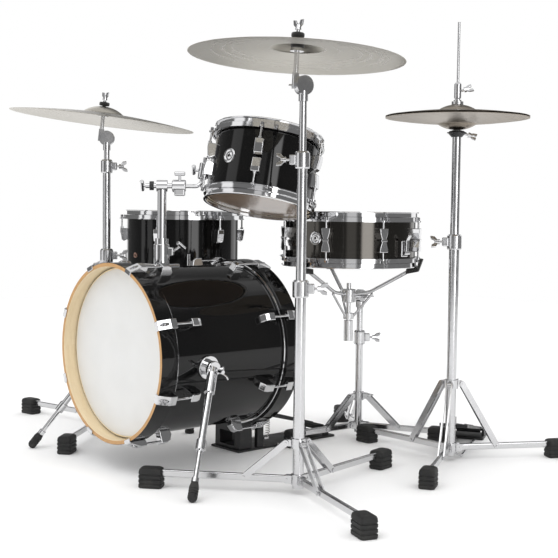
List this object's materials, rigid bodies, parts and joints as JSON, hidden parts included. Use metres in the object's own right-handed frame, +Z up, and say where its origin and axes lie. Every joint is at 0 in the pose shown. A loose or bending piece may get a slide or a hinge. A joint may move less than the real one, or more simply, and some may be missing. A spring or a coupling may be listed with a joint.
{
  "type": "acoustic drum kit",
  "caption": "Compact acoustic drum kit: raised bass drum with mounted tom, floor tom, snare, cymbals on flat-base stands, hi-hat and pedals.",
  "frame": {"origin": "on the floor at the middle of the kit's footprint", "axes": "+Z up; -Y is the audience's side, where the bass drum's front head faces; +X is the longest side, towards the ride cymbal and hi-hat"},
  "size_m": [1.5968, 1.1034, 1.098],
  "materials": {
    "chrome": "polished",
    "black_lacquer": "gloss lacquer over wood",
    "hoop_maple_black": "gloss black outside, clear maple inside",
    "drum_head": "smooth film",
    "bronze": "lathed, satin",
    "black_metal": "satin powder coat",
    "rubber": "matte",
    "felt": "pressed felt"
  },
  "bodies": {
    "kit_base": {"bass_shell": "black_lacquer", "bass_front_hoop": "hoop_maple_black", "bass_rear_hoop": "hoop_maple_black", "bass_heads": "drum_head", "bass_tension_hardware": "chrome", "bass_brackets": "chrome", "floor_tom_shell": "black_lacquer", "floor_tom_hoops": "chrome", "floor_tom_heads": "drum_head", "floor_tom_lugs": "chrome", "snare_stand_base": "chrome", "hihat_base": "chrome", "ride_base": "chrome", "crash_base": "chrome", "pedal_base": "black_metal"},
    "spur_right": {"spur_right": "chrome"},
    "spur_left": {"spur_left": "chrome"},
    "tom_post": {"tom_post": "chrome"},
    "tom_arm": {"tom_arm": "chrome"},
    "rack_tom": {"tom_shell": "black_lacquer", "tom_hoops": "chrome", "tom_heads": "drum_head", "tom_lugs": "chrome"},
    "floor_tom_legs": {"floor_tom_legs": "chrome"},
    "snare_height_tube": {"snare_stand_upper_tube": "chrome"},
    "snare_and_basket": {"snare_basket": "chrome", "snare_shell": "black_lacquer", "snare_hoops": "chrome", "snare_heads": "drum_head", "snare_lugs": "chrome"},
    "strainer_lever": {"snare_strainer_lever": "chrome"},
    "hihat_height_tube": {"hihat_upper_tube": "chrome", "hihat_bottom_cymbal": "bronze"},
    "hihat_rod": {"hihat_pull_rod": "chrome", "hihat_top_cymbal": "bronze"},
    "hihat_footboard": {"hihat_footboard": "black_metal"},
    "pedal_footboard": {"pedal_footboard": "black_metal"},
    "pedal_beater": {"pedal_beater": "chrome"},
    "snare_stand_collar": {"snare_stand_collar": "chrome"},
    "snare_stand_leg_1": {"snare_stand_leg_1": "chrome"},
    "snare_stand_leg_2": {"snare_stand_leg_2": "chrome"},
    "snare_stand_leg_3": {"snare_stand_leg_3": "chrome"},
    "snare_stand_brace_1": {"snare_stand_brace_1": "chrome"},
    "snare_stand_brace_2": {"snare_stand_brace_2": "chrome"},
    "snare_stand_brace_3": {"snare_stand_brace_3": "chrome"},
    "hihat_collar": {"hihat_collar": "chrome"},
    "hihat_leg_1": {"hihat_leg_1": "chrome"},
    "hihat_leg_2": {"hihat_leg_2": "chrome"},
    "hihat_leg_3": {"hihat_leg_3": "chrome"},
    "hihat_brace_1": {"hihat_brace_1": "chrome"},
    "hihat_brace_2": {"hihat_brace_2": "chrome"},
    "hihat_brace_3": {"hihat_brace_3": "chrome"},
    "ride_middle_tube": {"ride_middle_tube": "chrome"},
    "ride_top_tube": {"ride_top_tube": "chrome"},
    "ride_tilter": {"ride_tilter": "chrome"},
    "ride_cymbal": {"ride_cymbal": "bronze"},
    "crash_middle_tube": {"crash_middle_tube": "chrome"},
    "crash_top_tube": {"crash_top_tube": "chrome"},
    "crash_tilter": {"crash_tilter": "chrome"},
    "crash_cymbal": {"crash_cymbal": "bronze"}
  },
  "joints": [
    {"name": "spur_right_fold", "type": "hinge", "parent": "kit_base", "child": "spur_right", "pos_m": [0.2185, -0.37312, 0.26276], "axis": [0.9945, 0, -0.1045], "range_deg": [-60, 0]},
    {"name": "spur_left_fold", "type": "hinge", "parent": "kit_base", "child": "spur_left", "pos_m": [-0.18567, -0.37312, 0.26276], "axis": [0.9945, 0, 0.1045], "range_deg": [-60, 0]},
    {"name": "tom_height", "type": "slide", "parent": "kit_base", "child": "tom_post", "axis": [0, 0, 1], "range_m": [0, 0.06]},
    {"name": "tom_tilt", "type": "hinge", "parent": "tom_post", "child": "tom_arm", "pos_m": [0.01641, -0.36212, 0.684], "axis": [0.6325, 0.7746, 0], "range_deg": [-15, 15]},
    {"name": "tom_swivel", "type": "hinge", "parent": "tom_arm", "child": "rack_tom", "pos_m": [0.07363, -0.28005, 0.72112], "axis": [-0.0618, 0.2374, 0.9694], "range_deg": [-12, 12]},
    {"name": "floor_tom_leg_height", "type": "slide", "parent": "kit_base", "child": "floor_tom_legs", "axis": [0, 0, 1], "range_m": [0, 0.08]},
    {"name": "snare_height", "type": "slide", "parent": "kit_base", "child": "snare_height_tube", "axis": [0, 0, 1], "range_m": [-0.02, 0.08]},
    {"name": "snare_tilt", "type": "hinge", "parent": "snare_height_tube", "child": "snare_and_basket", "pos_m": [0.09641, 0.25388, 0.395], "axis": [0.9967, 0.0814, 0], "range_deg": [-8, 8]},
    {"name": "strainer_throw_off", "type": "hinge", "parent": "snare_and_basket", "child": "strainer_lever", "pos_m": [0.29574, 0.21854, 0.52], "axis": [-0.0698, 0.9976, 0], "range_deg": [0, 70]},
    {"name": "snare_stand_leg_1_fold", "type": "hinge", "parent": "kit_base", "child": "snare_stand_leg_1", "pos_m": [0.11869, 0.26523, 0.034], "axis": [0.454, -0.891, 0], "range_deg": [0, 75]},
    {"name": "snare_stand_leg_2_fold", "type": "hinge", "parent": "kit_base", "child": "snare_stand_leg_2", "pos_m": [0.07545, 0.2675, 0.034], "axis": [0.5446, 0.8387, 0], "range_deg": [0, 75]},
    {"name": "snare_stand_leg_3_fold", "type": "hinge", "parent": "kit_base", "child": "snare_stand_leg_3", "pos_m": [0.0951, 0.22892, 0.034], "axis": [-0.9986, 0.0523, 0], "range_deg": [0, 75]},
    {"name": "snare_stand_collar_slide", "type": "slide", "parent": "kit_base", "child": "snare_stand_collar", "axis": [0, 0, 1], "range_m": [0, 0.12307]},
    {"name": "snare_stand_brace_1_turn", "type": "hinge", "parent": "snare_stand_collar", "child": "snare_stand_brace_1", "pos_m": [0.12136, 0.26659, 0.115], "axis": [0.454, -0.891, 0], "range_deg": [-37.23, 0]},
    {"name": "snare_stand_brace_2_turn", "type": "hinge", "parent": "snare_stand_collar", "child": "snare_stand_brace_2", "pos_m": [0.07293, 0.26913, 0.115], "axis": [0.5446, 0.8387, 0], "range_deg": [-37.23, 0]},
    {"name": "snare_stand_brace_3_turn", "type": "hinge", "parent": "snare_stand_collar", "child": "snare_stand_brace_3", "pos_m": [0.09495, 0.22592, 0.115], "axis": [-0.9986, 0.0523, 0], "range_deg": [-37.23, 0]},
    {"name": "hihat_leg_1_fold", "type": "hinge", "parent": "kit_base", "child": "hihat_leg_1", "pos_m": [0.46291, 0.24553, 0.034], "axis": [0.866, -0.5, 0], "range_deg": [0, 75]},
    {"name": "hihat_leg_2_fold", "type": "hinge", "parent": "kit_base", "child": "hihat_leg_2", "pos_m": [0.42541, 0.22388, 0.034], "axis": [0, 1, 0], "range_deg": [0, 75]},
    {"name": "hihat_leg_3_fold", "type": "hinge", "parent": "kit_base", "child": "hihat_leg_3", "pos_m": [0.46291, 0.20223, 0.034], "axis": [-0.866, -0.5, 0], "range_deg": [0, 75]},
    {"name": "hihat_collar_slide", "type": "slide", "parent": "kit_base", "child": "hihat_collar", "axis": [0, 0, 1], "range_m": [0, 0.12203]},
    {"name": "hihat_brace_1_turn", "type": "hinge", "parent": "hihat_collar", "child": "hihat_brace_1", "pos_m": [0.46441, 0.24813, 0.196], "axis": [0.866, -0.5, 0], "range_deg": [-23.96, 0]},
    {"name": "hihat_brace_2_turn", "type": "hinge", "parent": "hihat_collar", "child": "hihat_brace_2", "pos_m": [0.42241, 0.22388, 0.196], "axis": [0, 1, 0], "range_deg": [-23.96, 0]},
    {"name": "hihat_brace_3_turn", "type": "hinge", "parent": "hihat_collar", "child": "hihat_brace_3", "pos_m": [0.46441, 0.19963, 0.196], "axis": [-0.866, -0.5, 0], "range_deg": [-23.96, 0]},
    {"name": "hihat_height", "type": "slide", "parent": "kit_base", "child": "hihat_height_tube", "axis": [0, 0, 1], "range_m": [-0.05, 0]},
    {"name": "hihat_open", "type": "slide", "parent": "kit_base", "child": "hihat_rod", "axis": [0, 0, 1], "range_m": [0, 0.03]},
    {"name": "hihat_pedal", "type": "hinge", "parent": "kit_base", "child": "hihat_footboard", "pos_m": [0.29291, 0.49668, 0.022], "axis": [-0.866, -0.5, 0], "range_deg": [0, 6.5]},
    {"name": "ride_height", "type": "slide", "parent": "kit_base", "child": "ride_middle_tube", "axis": [0, 0, 1], "range_m": [0, 0.12]},
    {"name": "ride_top_height", "type": "slide", "parent": "ride_middle_tube", "child": "ride_top_tube", "axis": [0, 0, 1], "range_m": [0, 0.06]},
    {"name": "ride_tilt", "type": "hinge", "parent": "ride_top_tube", "child": "ride_tilter", "pos_m": [0.45441, -0.30212, 0.899], "axis": [0.9816, -0.1908, 0], "range_deg": [-12, 12]},
    {"name": "ride_cymbal_rock", "type": "hinge", "parent": "ride_tilter", "child": "ride_cymbal", "pos_m": [0.44698, -0.31467, 0.98302], "axis": [0.9816, -0.1908, 0], "range_deg": [-4, 4]},
    {"name": "crash_height", "type": "slide", "parent": "kit_base", "child": "crash_middle_tube", "axis": [0, 0, 1], "range_m": [-0.1, 0.1]},
    {"name": "crash_top_height", "type": "slide", "parent": "crash_middle_tube", "child": "crash_top_tube", "axis": [0, 0, 1], "range_m": [-0.02, 0.06]},
    {"name": "crash_tilt", "type": "hinge", "parent": "crash_top_tube", "child": "crash_tilter", "pos_m": [-0.44059, -0.22712, 0.825], "axis": [0.7431, -0.6691, 0], "range_deg": [-12, 12]},
    {"name": "crash_cymbal_rock", "type": "hinge", "parent": "crash_tilter", "child": "crash_cymbal", "pos_m": [-0.45096, -0.23132, 0.89808], "axis": [0.7431, -0.6691, 0], "range_deg": [-4, 4]},
    {"name": "bass_pedal_press", "type": "hinge", "parent": "kit_base", "child": "pedal_footboard", "pos_m": [-0.00159, 0.17788, 0.024], "axis": [1, 0, 0], "range_deg": [0, 12], "stiffness_Nm_per_rad": 8, "springref_deg": -17.19},
    {"name": "beater_swing", "type": "hinge", "parent": "kit_base", "child": "pedal_beater", "pos_m": [-0.00159, -0.06712, 0.185], "axis": [1, 0, 0], "range_deg": [0, 41]}
  ],
  "couplings": [
    {"joint": "snare_stand_leg_2_fold", "follows": "snare_stand_leg_1_fold", "ratio": 1},
    {"joint": "snare_stand_leg_3_fold", "follows": "snare_stand_leg_1_fold", "ratio": 1},
    {"joint": "snare_stand_collar_slide", "follows": "snare_stand_leg_1_fold", "m_per_rad": 0.094009},
    {"joint": "snare_stand_brace_1_turn", "follows": "snare_stand_leg_1_fold", "ratio": -0.49621},
    {"joint": "snare_stand_brace_2_turn", "follows": "snare_stand_leg_1_fold", "ratio": -0.49621},
    {"joint": "snare_stand_brace_3_turn", "follows": "snare_stand_leg_1_fold", "ratio": -0.49621},
    {"joint": "hihat_leg_2_fold", "follows": "hihat_leg_1_fold", "ratio": 1},
    {"joint": "hihat_leg_3_fold", "follows": "hihat_leg_1_fold", "ratio": 1},
    {"joint": "hihat_collar_slide", "follows": "hihat_leg_1_fold", "m_per_rad": 0.093217},
    {"joint": "hihat_brace_1_turn", "follows": "hihat_leg_1_fold", "ratio": -0.31935},
    {"joint": "hihat_brace_2_turn", "follows": "hihat_leg_1_fold", "ratio": -0.31935},
    {"joint": "hihat_brace_3_turn", "follows": "hihat_leg_1_fold", "ratio": -0.31935},
    {"joint": "hihat_pedal", "follows": "hihat_open", "rad_per_m": 3.7736},
    {"joint": "beater_swing", "follows": "bass_pedal_press", "ratio": 3.4167}
  ]
}
